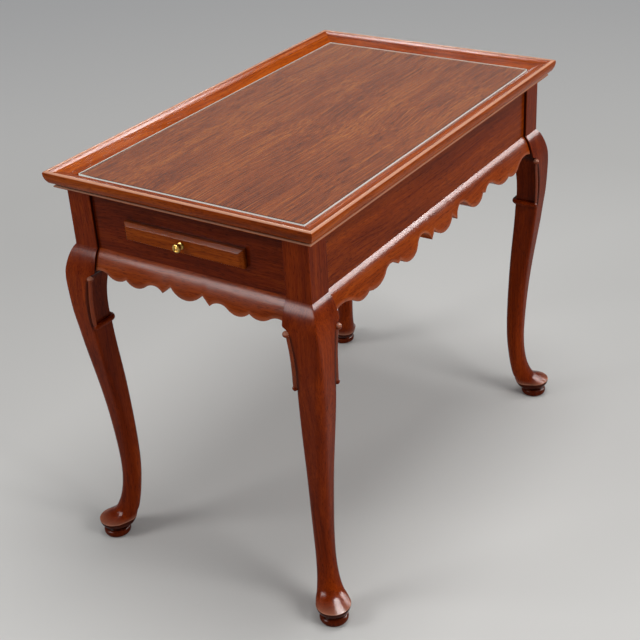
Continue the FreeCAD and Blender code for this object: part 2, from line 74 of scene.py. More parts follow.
# Rings of the foot, from the floor up, each a centre, a radius and a height. The disc is round. A ring of
# the pad is given at the toe and at the heel, and a low ridge runs over the pad's hollow top to the toe.
disc = [(15, 17.5, 0), (15, 20.0, 0.7), (15, 21.8, 2.5), (15, 22.5, 5), (15, 22.5, 8.4), (15, 21.8, 10.8),
        (15, 20.0, 12.4), (15, 17.6, 13)]
pad = [((15, 18.0, 13.9), (15.6, 18.6, 13.6)), ((15, 20.2, 16.4), (17.0, 20.3, 15.2)),
       ((15, 23.4, 19.8), (20.2, 21.2, 18.0)), ((15, 25.6, 23.4), (22.0, 21.6, 21.5)),
       ((15, 26.7, 26.8), (23.4, 21.8, 25.2)), ((15, 27.0, 29.6), (24.3, 21.9, 28.5)),
       ((15, 27.0, 30.4), (24.5, 21.9, 29.6)), ((15.2, 26.4, 30.8), (24.9, 21.9, 31.0)),
       ((18.0, 26.0, 32.2), (25.7, 21.8, 34.0)), ((22.1, 24.4, 35.0), (26.8, 21.2, 37.5)),
       ((25.8, 21.6, 39.0), (28.4, 20.1, 41.0))]
toe_ridge = [0] * 8 + [0.8, 1.6, 1.4]
pad_rim = len(disc) + 6
pad_rim_crease = 0.9
ring_points = 48
least_bend_share = 1 / 3

# Where the toe points, and where the heel's circle ends and how far it takes to run into the toe's, both as
# cosines of the turn from the toe.
toe_angle = math.radians(225)
heel_end = -0.8
heel_run = 0.45
ridge_taper = 3

# Per-vertex painted light: 1 where the wood is painted dark as painted shade, below 0 where it is painted
# pale as painted highlight. On the foot the disc, the groove above it and the pad's underside are painted
# shade, and the pad's rim and hollow top are painted highlight.
foot_shade_and_highlight = [0.45] * 7 + [0.9] * 3 + [0.75] * 4 + [-1.0, -0.4, -0.25, -0.1, 0.0]

# On the inner faces, beside the carving, in the groove along the bead and under the ear, the wood is
# painted dark as painted shade.
carving_foot = 405
bead_top = 490
ear_foot = 496
groove_width = 3.9
flush = 0.05
inner_shade = 0.3
ear_shade = 0.85
groove_shade = 0.75


# Point of a rounded square, by its number round the ring. A tight bend still gets a third of a quarter's
# points, so that it stays round.
def rounded_square(number, outer, inner, radii):
    quarter, step = divmod(number, ring_points // 4)
    along = step * 4 / ring_points
    half = (inner - outer) / 2
    radius = radii[quarter]
    flat = half - radius
    bend = radius * math.pi / 2
    bend_share = max(bend / (bend + 2 * flat), least_bend_share)
    flat_share = (1 - bend_share) / 2
    if along < flat_share:
        point = Vector((half, flat * along / flat_share))
    elif along <= flat_share + bend_share:
        angle = (along - flat_share) / bend_share * math.pi / 2
        point = Vector((flat + radius * math.cos(angle), flat + radius * math.sin(angle)))
    else:
        point = Vector((flat * (1 - along) / flat_share, half))
    point.rotate(Matrix.Rotation(quarter * math.pi / 2, 2))
    return point + Vector(((inner + outer) / 2,) * 2)


# Point of a foot ring, by its number round the ring. The heel's circle runs into the toe's behind the ankle.
def foot_point(number, toe, heel, ridge):
    angle = number / ring_points * 2 * math.pi
    towards_toe = math.cos(angle - toe_angle)
    blend = min(max((towards_toe - heel_end) / heel_run, 0), 1)
    blend = blend * blend * (3 - 2 * blend)
    at_toe, at_heel = [Vector((centre + radius * math.cos(angle), centre + radius * math.sin(angle), height))
                       for centre, radius, height in (toe, heel)]
    lift = ridge * max(towards_toe, 0) ** ridge_taper
    return at_heel.lerp(at_toe, blend) + Vector((0, 0, lift))


# Draws a chain of edges out into a row of faces, and gives the row's new points and edges.
def extrude_chain(bm, edges):
    grown = bmesh.ops.extrude_edge_only(bm, edges=edges)["geom"]
    verts = [item for item in grown if isinstance(item, bmesh.types.BMVert)]
    fresh = set(verts)
    drawn = [item for item in grown if isinstance(item, bmesh.types.BMEdge)]
    return verts, [edge for edge in drawn if fresh.issuperset(edge.verts)]


leg_mesh = bmesh.new()
ring_number = leg_mesh.verts.layers.int.new("ring_number")
patina = leg_mesh.verts.layers.float.new("patina")
crease = leg_mesh.edges.layers.float.new("crease_edge")
ring = bmesh.ops.create_circle(leg_mesh, segments=ring_points, radius=1)["verts"]
for number, vert in enumerate(ring):
    vert[ring_number] = number
ring_edges = list(leg_mesh.edges)
bmesh.ops.contextual_create(leg_mesh, geom=ring_edges)
foot = [(station, station, 0) for station in disc]
foot += [(toe, heel, ridge) for (toe, heel), ridge in zip(pad, toe_ridge)]
for station, (toe, heel, ridge) in enumerate(foot):
    if station:
        ring, ring_edges = extrude_chain(leg_mesh, ring_edges)
    for vert in ring:
        vert.co = foot_point(vert[ring_number], toe, heel, ridge)
        vert[patina] = foot_shade_and_highlight[station]
    for edge in ring_edges:
        edge[crease] = pad_rim_crease if station == pad_rim else 0.0
for height, outer, inner, inner_round, side_round, outer_round in shank + post:
    ring, ring_edges = extrude_chain(leg_mesh, ring_edges)
    radii = (inner_round, side_round, outer_round, side_round)
    for vert in ring:
        vert.co = (*rounded_square(vert[ring_number], outer, inner, radii), height)
        far_in = max(vert.co.x, vert.co.y)
        near_out = min(vert.co.x, vert.co.y)
        vert[patina] = 0.0
        # Painted shade on the inner faces and under the ear, and in the groove along the bead.
        if far_in > inner - flush and height > carving_foot:
            vert[patina] = inner_shade if height < ear_foot else ear_shade
        in_groove = far_in > inner - groove_width and near_out < outer + groove_width
        if in_groove and carving_foot < height < bead_top:
            vert[patina] = groove_shade
    sharp_ring = height in (leg_height, post_top)
    for edge in ring_edges:
        edge[crease] = 1.0 if sharp_ring else 0.0
        edge.smooth = not sharp_ring
bmesh.ops.contextual_create(leg_mesh, geom=ring_edges)

# Carving, drawn for the inner face that looks along +Y and mirrored across the leg's diagonal. The bead is
# flattened against the leg and painted a little pale, the eye's top is painted pale, both as painted
# highlight, and the roll goes round the inner corner.
bead = [((6.6, 54.8, 491), 2.6), ((8.2, 54.4, 487.5), 3.9), ((9.6, 53.4, 481), 4.4), ((9.4, 51.6, 470), 4.4),
        ((9.2, 50.0, 456), 4.4), ((9.2, 49.2, 441), 4.4), ((9.6, 48.9, 425), 4.4), ((11.0, 49.8, 406), 4.3)]
bead_flatness = 0.4
bead_middle = 9.4
bead_shift = (-2.6, -0.9, 0)
eye_radius = 4.9
eye_centre = (5.2, 56.5, 493)
eye_highlight_foot = 494
carving_highlight = -0.1
eye_highlight = -0.6
roll_height = 408
roll_axis = 49.8
roll_turn = roll_axis - 9.0
roll_ends = [(4.6, 1.4), (5.0, 2.8), (6.2, 3.9), (8.0, 4.3), (11.0, 4.5), (20, 4.5), (roll_turn, 4.5)]
roll = [((along, roll_axis, roll_height), radius) for along, radius in roll_ends]
tube_sides = 16


# Tapered tube along a path of (point, radius): a ring square to the axis is drawn out from point to point.
def draw_tube(bm, path, axis):
    square_on = Vector((0, 0, 1)).rotation_difference(Vector(axis)).to_matrix().to_4x4()
    first, radius = path[0]
    verts = bmesh.ops.create_circle(bm, segments=tube_sides, radius=1, matrix=square_on)["verts"]
    edges = list({edge for vert in verts for edge in vert.link_edges})
    bmesh.ops.scale(bm, vec=(radius,) * 3, verts=verts)
    bmesh.ops.translate(bm, vec=first, verts=verts)
    bmesh.ops.contextual_create(bm, geom=edges)
    for (start, old), (end, new) in zip(path, path[1:]):
        verts, edges = extrude_chain(bm, edges)
        bmesh.ops.scale(bm, vec=(new / old,) * 3, space=Matrix.Translation(-Vector(start)), verts=verts)
        bmesh.ops.translate(bm, vec=Vector(end) - Vector(start), verts=verts)
    return edges


carving = bmesh.new()
carving_light_layer = carving.verts.layers.float.new("patina")
end_edges = draw_tube(carving, bead, (0, 0, 1))
bmesh.ops.contextual_create(carving, geom=end_edges)
bmesh.ops.scale(carving, vec=(bead_flatness, 1, 1), space=Matrix.Translation((-bead_middle, 0, 0)),
                verts=carving.verts)
bmesh.ops.translate(carving, vec=bead_shift, verts=carving.verts)
# Painted highlight on the bead.
for vert in carving.verts:
    vert[carving_light_layer] = carving_highlight
eye = bmesh.ops.create_uvsphere(carving, u_segments=20, v_segments=12, radius=eye_radius,
                                matrix=Matrix.Translation(eye_centre))["verts"]
# Painted highlight, strongest on the eye's top.
for vert in eye:
    vert[carving_light_layer] = eye_highlight if vert.co.z > eye_highlight_foot else carving_highlight
end_edges = draw_tube(carving, roll, (1, 0, 0))
bmesh.ops.spin(carving, geom=end_edges, cent=(roll_turn, roll_turn, roll_height), axis=(0, 0, -1),
               angle=math.pi / 4, steps=4)
across_diagonal = Matrix(((0, 1, 0, 0), (1, 0, 0, 0), (0, 0, 1, 0), (0, 0, 0, 1)))
other_face = carving.copy()
bmesh.ops.transform(other_face, matrix=across_diagonal, verts=other_face.verts)
bmesh.ops.reverse_faces(other_face, faces=other_face.faces)
for part in (carving, other_face):
    carried = bpy.data.meshes.new("carving")
    part.to_mesh(carried)
    part.free()
    leg_mesh.from_mesh(carried)
    bpy.data.meshes.remove(carried)
bmesh.ops.remove_doubles(leg_mesh, verts=leg_mesh.verts, dist=0.01)
bmesh.ops.recalc_face_normals(leg_mesh, faces=leg_mesh.faces)


# An sRGB hex value as linear colour.
def hex_colour(code):
    parts = [int(code[at:at + 2], 16) / 255 for at in (1, 3, 5)]
    return [c / 12.92 if c <= 0.04045 else ((c + 0.055) / 1.055) ** 2.4 for c in parts] + [1.0]


# One node with its settings and links. The colours of a ramp are given as stops.
def add(material, kind, settings, links=None):
    node = material.node_tree.nodes.new(kind)
    for name, value in settings.items():
        if name == "stops":
            elements = node.color_ramp.elements
            elements[0].position, elements[0].color = value[0]
            elements[1].position, elements[1].color = value[-1]
            for position, colour in value[1:-1]:
                elements.new(position).color = colour
        elif isinstance(name, int) or name in node.inputs:
            node.inputs[name].default_value = value
        else:
            setattr(node, name, value)
    for name, output in (links or {}).items():
        material.node_tree.links.new(output, node.inputs[name])
    return node


def new_material(name):
    material = bpy.data.materials.new(name)
    material.use_nodes = True
    material.node_tree.nodes.clear()
    return material


# Scale of a noise whose grains are so many millimetres long, along the grain and across it.
def grain_scale(length, width):
    return (1000 / length, 1000 / width, 1000 / width)


grain_turns = {"x": (0, 0, 0), "y": (0, 0, -math.pi / 2), "z": (0, math.pi / 2, 0)}
sway_length = 240
sway_reach = 0.03
pore_size = (11, 0.9)
smudge_size = (90, 60)
# Painted shade colour, and the pale colour of painted highlights and worn edges.
painted_shade_colour = hex_colour("#1A0703")
pale_wear_and_highlight_colour = hex_colour("#DAA88C")
pale_wear_and_highlight_strength = -0.5
rim_shade_strength = 0.6


# Lacquered mahogany: red-brown wood with soft ribbon figure, long streaks and short dark pores under a
# satin lacquer. Above 0 the per-vertex amount darkens the wood as painted shade; below 0 it pales it, as
# painted highlight, and on the skirts' lower edges as wear. Over an optional band of heights the wood is
# painted darker upwards, as painted shade under the rim. Sizes are along and across the grain. Real
# pores are about 0.2 mm wide and are drawn at 0.9 mm, so that they show at all.
def mahogany(name, grain, tones, figure_size=(420, 26), figure_share=0.6, offset=(0, 0, 0), gloss=0.2,
             polish=0.05, streak_size=(130, 2.6), rim_shade_band=None):
    dark, middle, light = [hex_colour(tone) for tone in tones]
    wood = new_material(name)
    place = add(wood, "ShaderNodeTexCoord", {}).outputs["Object"]
    turned = add(wood, "ShaderNodeMapping", {"Rotation": grain_turns[grain], "Location": offset},
                 {"Vector": place}).outputs[0]
    sway = add(wood, "ShaderNodeTexNoise", {"Scale": 1000 / sway_length, "Detail": 1.0}, {"Vector": turned})
    centred = add(wood, "ShaderNodeVectorMath", {"operation": "SUBTRACT", 1: (0.5, 0.5, 0.5)},
                  {0: sway.outputs["Color"]})
    bent = add(wood, "ShaderNodeVectorMath", {"operation": "MULTIPLY_ADD", 1: (0, sway_reach, sway_reach)},
               {0: centred.outputs[0], 2: turned}).outputs[0]
    noises = []
    for size, detail in ((figure_size, 4.0), (streak_size, 3.0), (pore_size, 0.0), (smudge_size, 2.0)):
        sized = add(wood, "ShaderNodeMapping", {"Scale": grain_scale(*size)}, {"Vector": bent})
        noises.append(add(wood, "ShaderNodeTexNoise", {"Scale": 1.0, "Detail": detail, "Roughness": 0.6},
                          {"Vector": sized.outputs[0]}).outputs["Fac"])
    figure, streak, pore, smudge = noises
    tone = add(wood, "ShaderNodeMix", {"data_type": "FLOAT", "Factor": 1 - figure_share},
               {2: figure, 3: streak}).outputs[0]
    colour = add(wood, "ShaderNodeValToRGB", {"stops": [(0.33, dark), (0.5, middle), (0.68, light)]},
                 {"Fac": tone}).outputs["Color"]
    pores = add(wood, "ShaderNodeMapRange",
                {"From Min": 0.60, "From Max": 0.70, "To Min": 0.0, "To Max": 0.5},
                {"Value": pore}).outputs[0]
    colour = add(wood, "ShaderNodeMix", {"data_type": "RGBA", 7: [0.4 * c for c in dark[:3]] + [1]},
                 {"Factor": pores, 6: colour}).outputs[2]
    light_and_wear_amount = add(wood, "ShaderNodeAttribute", {"attribute_name": "patina"}).outputs["Fac"]
    painted_shade_amount = add(wood, "ShaderNodeMath", {"operation": "MAXIMUM", 1: 0.0}, {0: light_and_wear_amount}).outputs[0]
    # Painted shade: darkened where the per-vertex amount is above 0.
    colour = add(wood, "ShaderNodeMix", {"data_type": "RGBA", 7: painted_shade_colour},
                 {"Factor": painted_shade_amount, 6: colour}).outputs[2]
    # Painted highlight, and wear on the skirts' lower edges: paled where the amount is below 0.
    pale_amount = add(wood, "ShaderNodeMath", {"operation": "MULTIPLY", 1: pale_wear_and_highlight_strength, "use_clamp": True},
                 {0: light_and_wear_amount}).outputs[0]
    colour = add(wood, "ShaderNodeMix", {"data_type": "RGBA", 7: pale_wear_and_highlight_colour},
                 {"Factor": pale_amount, 6: colour}).outputs[2]
    # Painted shade under the rim: darker upwards over a band of heights.
    if rim_shade_band:
        height = add(wood, "ShaderNodeSeparateXYZ", {}, {"Vector": place}).outputs["Z"]
        rim_shaded = add(wood, "ShaderNodeMapRange",
                      {"From Min": rim_shade_band[0] / 1000, "From Max": rim_shade_band[1] / 1000,
                       "To Min": 0.0, "To Max": rim_shade_strength},
                      {"Value": height}).outputs[0]
        colour = add(wood, "ShaderNodeMix", {"data_type": "RGBA", 7: painted_shade_colour},
                     {"Factor": rim_shaded, 6: colour}).outputs[2]
    rough = add(wood, "ShaderNodeMapRange",
                {"From Min": 0.3, "From Max": 0.7, "To Min": gloss - 0.05, "To Max": gloss + 0.07},
                {"Value": smudge}).outputs[0]
    relief = add(wood, "ShaderNodeMath", {"operation": "MULTIPLY_ADD", 1: -1.0},
                 {0: pores, 2: streak}).outputs[0]
    bump = add(wood, "ShaderNodeBump", {"Strength": 0.10, "Distance": 0.0004}, {"Height": relief}).outputs[0]
    lacquer = add(wood, "ShaderNodeBsdfPrincipled", {"IOR": 1.5, "Specular IOR Level": polish},
                  {"Base Color": colour, "Roughness": rough, "Normal": bump})
    add(wood, "ShaderNodeOutputMaterial", {}, {"Surface": lacquer.outputs[0]})
    return wood


leg_wood = mahogany("mahogany_lacquered_leg", "z", ("#541602", "#722504", "#903608"))
corner_turns = {"front_left": 0, "front_right": 90, "back_right": 180, "back_left": 270}
never_sharp = 180


# A finished mesh in millimetres becomes a piece in metres at the origin, smooth but for arrises over the
# sharp angle, in degrees.
def make_piece(bm, name, material, body, replaced, sharp=40):
    for face in bm.faces:
        face.smooth = True
    for edge in bm.edges:
        edge.smooth = edge.smooth and edge.calc_face_angle(0) < math.radians(sharp)
    bmesh.ops.scale(bm, vec=(0.001,) * 3, verts=bm.verts)
    mesh = bpy.data.meshes.new(name)
    bm.to_mesh(mesh)
    bm.free()
    mesh.materials.append(material)
    piece = bpy.data.objects.new(name, mesh)
    bpy.context.scene.collection.objects.link(piece)
    if sharp < never_sharp:
        piece.modifiers.new("flat faces shade flat", "WEIGHTED_NORMAL").keep_sharp = True
    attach(piece, body)
    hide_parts(replaced)
    return piece


for corner, turn in corner_turns.items():
    leg = leg_mesh.copy()
    to_x = half_length if turn in (90, 180) else -half_length
    to_y = half_width if turn in (180, 270) else -half_width
    to_corner = Matrix.Translation((to_x, to_y, 0)) @ Matrix.Rotation(math.radians(turn), 4, "Z")
    bmesh.ops.transform(leg, matrix=to_corner, verts=leg.verts)
    leg_piece = make_piece(leg, "cabriole_leg_" + corner, leg_wood, "table", "leg_" + corner,
                           sharp=never_sharp)
    rounding = leg_piece.modifiers.new("carved surface", "SUBSURF")
    rounding.levels = rounding.render_levels = 2
leg_mesh.free()

# Frieze rails: flat mahogany boards tenoned into the posts and set back from their faces. The short ones
# are slotted for the candle slides. Towards the top, under the overhang of the rim, they are painted darker
# as painted shade.
frieze_tones = ("#451302", "#661F04", "#803008")
frieze_woods = {"x": mahogany("mahogany_lacquered_frieze_long", "x", ("#5C1A02", "#823003", "#A04408"),
                              rim_shade_band=(592, 630)),
                "y": mahogany("mahogany_lacquered_frieze_short", "y", frieze_tones, rim_shade_band=(600, 630))}
side_turns = {"left": 0, "front": 90, "right": 180, "back": 270}
ends = ("left", "right")
side_grain = {side: "y" if side in ends else "x" for side in side_turns}


# Gives a solid of the frame its material.
def dress(node, material):
    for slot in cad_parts[node].material_slots:
        slot.material = material


for side in side_turns:
    dress("rail_" + side, frieze_woods[side_grain[side]])

# Skirts: scalloped mahogany aprons under the rails, shaped to the same rounded face as the knees, with
# their lower edge sawn to lobes and cusps. They are glued to the rails and stub-tenoned into the legs.
skirt_back = 40.0
rail_face = 27.0
rubbed_edge = -0.25

# Projection of the knee's face at drops below the crease where it meets the rail.
knee_face = [(0, 0), (7, 5.4), (17, 9.6), (28, 13.1), (42, 16.2), (56, 16.2)]
crease_steepness = 1.3

# Lower edge from its middle lobe to a leg: shares of the half span and drops, a cusp alone, or a lobe and
# the cusp after it.
end_lobe = 40.7
end_scallops = [(0.170, 27.0), [(0.251, 39.0)], [(0.340, 32.0), (0.442, 37.2)],
                [(0.543, 42.7), (0.657, 34.7)], [(0.758, 40.1), (0.854, 35.5)],
                [(0.935, 30.7), (1.0, 32.5)]]
side_lobe = 42.0
side_scallops = [(0.093, 27.7), [(0.132, 38.0)], [(0.200, 20.5), (0.264, 31.0)],
                 [(0.347, 42.7), (0.426, 31.0)], [(0.452, 33.5)], [(0.505, 25.5), (0.572, 33.0)],
                 [(0.653, 42.0), (0.723, 38.0)], [(0.785, 42.5), (0.846, 35.0)],
                 [(0.926, 27.0), (1.0, 30.0)]]
arc_steps = 10

# Rounding of the lower edge, as steps in from the face and up, and rows of the face as shares of its drop.
edge_round = [(2.2, 0.0), (0.9, 0.25), (0.25, 0.9), (0.0, 2.2)]
edge_height = 2.2
face_rows = (0.86, 0.72, 0.58, 0.45, 0.33, 0.22, 0.13, 0.06, 0.0)


# The knee's projection at a drop below the crease, on a smooth curve through the measured points.
def knee_projection(drop):
    slopes = [(b[1] - a[1]) / (b[0] - a[0]) for a, b in zip(knee_face, knee_face[1:])]
    middle_tangents = [(a + b) / 2 for a, b in zip(slopes, slopes[1:])]
    tangents = [slopes[0] * crease_steepness] + middle_tangents + [0]
    for at, (low, high) in enumerate(zip(knee_face, knee_face[1:])):
        if drop <= high[0]:
            break
    span = high[0] - low[0]
    t = (drop - low[0]) / span
    return (low[1] * (1 + 2 * t) * (1 - t) ** 2 + high[1] * t * t * (3 - 2 * t)
            + span * (tangents[at] * t * (1 - t) ** 2 - tangents[at + 1] * t * t * (1 - t)))


# Draws an edge on from a vertex, straight to a point, or on an arc through one point to another.
def draw_on(bm, vert, points):
    points = [Vector(point) for point in points]
    if len(points) == 1:
        new = bmesh.ops.extrude_vert_indiv(bm, verts=[vert])["verts"][0]
        new.co = points[0]
        return new
    first, second = points[0] - vert.co, points[1] - vert.co
    normal = first.cross(second)
    towards = normal.cross(first) * second.length_squared + second.cross(normal) * first.length_squared
    centre = vert.co + towards / (2 * normal.length_squared)
    angle = (vert.co - centre).angle(points[1] - centre)
    made = bmesh.ops.spin(bm, geom=[vert], cent=centre, axis=normal, angle=angle, steps=arc_steps)
    return next(item for item in made["geom_last"] if isinstance(item, bmesh.types.BMVert))


def skirt_point(span, share, drop):
    return Vector((skirt_back, share * span, leg_height - drop))


# Sets a point at a drop below the crease, on the rounded face or so far behind it.
def set_on_face(vert, drop, behind):
    vert.co.x = rail_face - knee_projection(max(drop, 0)) + behind
    vert.co.z = leg_height - drop


# Turns a mesh drawn for the left end, measured in from the edge of the top, to its own side of the table.
def to_side(bm, side):
    edge = half_length if side in ends else half_width
    turn = Matrix.Rotation(math.radians(side_turns[side]), 4, "Z")
    bmesh.ops.transform(bm, matrix=turn @ Matrix.Translation((-edge, 0, 0)), verts=bm.verts)
    bmesh.ops.recalc_face_normals(bm, faces=bm.faces)


skirt_woods = {"x": mahogany("mahogany_lacquered_skirt_long", "x", ("#6C2606", "#923A0A", "#AA4E10")),
               "y": mahogany("mahogany_lacquered_skirt_short", "y", ("#6A2506", "#8E380A", "#A64A10"))}
for side in side_turns:
    span = (half_width if side in ends else half_length) - post_inner
    scallops = end_scallops if side in ends else side_scallops
    lobe = end_lobe if side in ends else side_lobe
    skirt = bmesh.new()
    edge_drop = skirt.verts.layers.float.new("drop")
    patina = skirt.verts.layers.float.new("patina")
    cusp_share, cusp_drop = scallops[0]
    start = skirt.verts.new(skirt_point(span, -cusp_share, cusp_drop))
    over_lobe = [skirt_point(span, 0, lobe), skirt_point(span, cusp_share, cusp_drop)]
    middle_ends = {-1: start, 1: draw_on(skirt, start, over_lobe)}
    for way, vert in middle_ends.items():
        for step in scallops[1:]:
            vert = draw_on(skirt, vert, [skirt_point(span, way * share, drop) for share, drop in step])
    for vert in skirt.verts:
        vert[edge_drop] = leg_height - vert.co.z
    chain = list(skirt.edges)
    for behind, lift in edge_round:
        verts, chain = extrude_chain(skirt, chain)
        for vert in verts:
            set_on_face(vert, vert[edge_drop] - lift, behind)
            vert[patina] = rubbed_edge if lift > 0 else 0.0
    for share in face_rows:
        verts, chain = extrude_chain(skirt, chain)
        for vert in verts:
            set_on_face(vert, (vert[edge_drop] - edge_height) * share, 0.0)
            vert[patina] = 0.0
    for share in (0.0, 1.0):
        verts, chain = extrude_chain(skirt, chain)
        for vert in verts:
            vert.co.x = skirt_back
            vert.co.z = leg_height - share * vert[edge_drop]
    bmesh.ops.remove_doubles(skirt, verts=skirt.verts, dist=0.001)
    bmesh.ops.holes_fill(skirt, edges=[edge for edge in skirt.edges if edge.is_boundary])
    to_side(skirt, side)
    make_piece(skirt, "scalloped_skirt_" + side, skirt_woods[side_grain[side]], "table",
               "skirt_" + side)

# Glue blocks, runners, corner braces, keys and pegs: plain sawn softwood inside the frame, glued and
# screwed, never polished. They show only from below or with a slide pulled out.
ring_size = (180, 4.5)

# Sawn pine: pale yellow-brown, with darker growth rings and a dry, slightly furry face.
pine = new_material("softwood_sawn_pine")
pine_stops = [(0.3, hex_colour("#8A6238")), (0.5, hex_colour("#B78A57")), (0.7, hex_colour("#CFA875"))]
place = add(pine, "ShaderNodeTexCoord", {}).outputs["Object"]
rings = add(pine, "ShaderNodeMapping", {"Scale": grain_scale(*ring_size)}, {"Vector": place}).outputs[0]
grain = add(pine, "ShaderNodeTexNoise", {"Scale": 1.0, "Detail": 3.0}, {"Vector": rings}).outputs["Fac"]
colour = add(pine, "ShaderNodeValToRGB", {"stops": pine_stops}, {"Fac": grain}).outputs[0]
bump = add(pine, "ShaderNodeBump", {"Strength": 0.2, "Distance": 0.0004}, {"Height": grain}).outputs[0]
sawn = add(pine, "ShaderNodeBsdfPrincipled", {"Roughness": 0.75}, {"Base Color": colour, "Normal": bump})
add(pine, "ShaderNodeOutputMaterial", {}, {"Surface": sawn.outputs[0]})
for node in ("skirt_blocks", "runner_front", "runner_back", "mitre_keys", "stop_pegs_left",
             "stop_pegs_right"):
    dress(node, pine)
for corner in corner_turns:
    dress("corner_block_" + corner, pine)

# Wood screws: turned steel with countersunk heads, driven through the corner braces into the posts and up
# into the tray board.
dull_patch = 1.5

# Turned steel: grey metal, bright but dulled in small patches.
steel = new_material("steel_screw")
place = add(steel, "ShaderNodeTexCoord", {}).outputs["Object"]
dull = add(steel, "ShaderNodeTexNoise", {"Scale": 1000 / dull_patch, "Detail": 2.0},
           {"Vector": place}).outputs["Fac"]
rough = add(steel, "ShaderNodeMapRange", {"To Min": 0.3, "To Max": 0.5}, {"Value": dull}).outputs[0]
turned = add(steel, "ShaderNodeBsdfPrincipled", {"Base Color": hex_colour("#8F8B84"), "Metallic": 1.0},
             {"Roughness": rough})
add(steel, "ShaderNodeOutputMaterial", {}, {"Surface": turned.outputs[0]})
for node in ("leg_screws", "top_screws"):
    dress(node, steel)

# Candle slides: a mahogany board in the runners' grooves, with a raised mahogany front planted on it, its
# edges chamfered, more along the top and the ends than below.
slide_middle = 582.0
face_back = 27.0
face_edge = 20.0
face_front = 16.0
arris_round = 0.5
# The back edges of the front, against the rail, are painted dark as painted shade.
back_edge_shade = 0.85

# Outlines of the front at its edge and of its raised field: half length, bottom and top.
face_outline = (104.5, 567.5, 596.5)
raised_outline = (99.0, 570.5, 591.0)


# Sets the four corners of the front to an outline, at a distance in from the edge of the top.
def set_outline(corners, inset, outline):
    half, bottom, top = outline
    for vert in corners:
        height = top if vert.co.z > slide_middle else bottom
        vert.co = (inset, math.copysign(half, vert.co.y), height)


slide_wood = mahogany("mahogany_lacquered_slide", "y", ("#5A2003", "#823506", "#A04A0C"),
                      offset=(0.2, 0.1, 0))
board_wood = mahogany("mahogany_lacquered_slide_board", "x", frieze_tones, offset=(0, 0.3, 0.1))
for side in ends:
    dress("slide_board_" + side, board_wood)
    face = bmesh.new()
    patina = face.verts.layers.float.new("patina")
    corners = bmesh.ops.create_grid(face, x_segments=1, y_segments=1, size=1)["verts"]
    for vert in corners:
        vert.co = (face_back, vert.co.x, slide_middle + vert.co.y)
        # Painted shade along the back edges.
        vert[patina] = back_edge_shade
    set_outline(corners, face_back, face_outline)
    chain = list(face.edges)
    for inset, outline in ((face_edge, face_outline), (face_front, raised_outline)):
        corners, chain = extrude_chain(face, chain)
        set_outline(corners, inset, outline)
        for vert in corners:
            vert[patina] = 0.0
    bmesh.ops.contextual_create(face, geom=chain)
    arrises = [edge for edge in face.edges if min(vert.co.x for vert in edge.verts) < face_back - flush]
    bmesh.ops.bevel(face, geom=arrises, offset=arris_round, offset_type="OFFSET", affect="EDGES", segments=2,
                    profile=0.5, material=-1)
    to_side(face, side)
    make_piece(face, "slide_front_" + side, slide_wood, "slide_" + side, "slide_face_" + side,
               sharp=30)

# Brass knobs: turned from bar with a necked stem and a ring cut in the face, and screwed into the slide
# fronts by a stud.
tarnish_patch = 3
knob_steps = 40

# Profile from the seat to the middle of the face: radius and distance out from the slide front.
knob_seat = (0, -0.4)
knob_profile = [[(5.6, -0.4)], [(5.6, 0.8)], [(5.2, 1.8)], [(3.1, 4.4), (5.7, 8.0)], [(6.4, 8.6)],
                [(6.6, 10.0), (5.7, 11.8)], [(5.1, 12.0)], [(4.0, 12.0)], [(3.6, 11.7)], [(3.5, 11.0)],
                [(2.6, 11.0)], [(1.9, 11.5), (0, 11.8)]]

# Turned brass: warm yellow metal that has gone browner and duller where it is tarnished.
brass = new_material("brass_turned")
brass_stops = [(0.35, hex_colour("#96743A")), (0.65, hex_colour("#C4A25A"))]
place = add(brass, "ShaderNodeTexCoord", {}).outputs["Object"]
tarnish = add(brass, "ShaderNodeTexNoise", {"Scale": 1000 / tarnish_patch, "Detail": 3.0},
              {"Vector": place}).outputs["Fac"]
colour = add(brass, "ShaderNodeValToRGB", {"stops": brass_stops}, {"Fac": tarnish}).outputs[0]
rough = add(brass, "ShaderNodeMapRange", {"To Min": 0.24, "To Max": 0.42}, {"Value": tarnish}).outputs[0]
turned = add(brass, "ShaderNodeBsdfPrincipled", {"Metallic": 1.0}, {"Base Color": colour, "Roughness": rough})
add(brass, "ShaderNodeOutputMaterial", {}, {"Surface": turned.outputs[0]})


def knob_point(radius, out):
    return Vector((face_front - out, 0, slide_middle + radius))


for side in ends:
    knob = bmesh.new()
    vert = knob.verts.new(knob_point(*knob_seat))
    for step in knob_profile:
        vert = draw_on(knob, vert, [knob_point(radius, out) for radius, out in step])
    bmesh.ops.spin(knob, geom=knob.verts[:] + knob.edges[:], cent=knob_point(0, 0), axis=(1, 0, 0),
                   angle=2 * math.pi, steps=knob_steps, use_merge=True)
    bmesh.ops.remove_doubles(knob, verts=knob.verts, dist=0.001)
    to_side(knob, side)
    make_piece(knob, "brass_knob_" + side, brass, "slide_" + side, "knob_" + side, sharp=35)

# Tray board: a flat panel in the rim's rebate, faced with one broad leaf of figured mahogany veneer whose
# grain runs along the table. It is rubbed matt, with no shine of its own under the glass.
veneer = mahogany("mahogany_veneer_tray", "x", ("#581A07", "#AE4A18", "#E27830"), (420, 50), 0.36,
                  gloss=0.45, polish=0.0, streak_size=(240, 1.9))
dress("top_panel", veneer)

# Tray rim: four lengths of one mahogany moulding, mitred at the corners and keyed. Crest bead, hollow and
# inner slope stand above, with an ovolo, a recess and a thin fillet below.
rim_base = post_top
moulding_round = 0.3
arris_angle = math.radians(25)
long_edge = 100

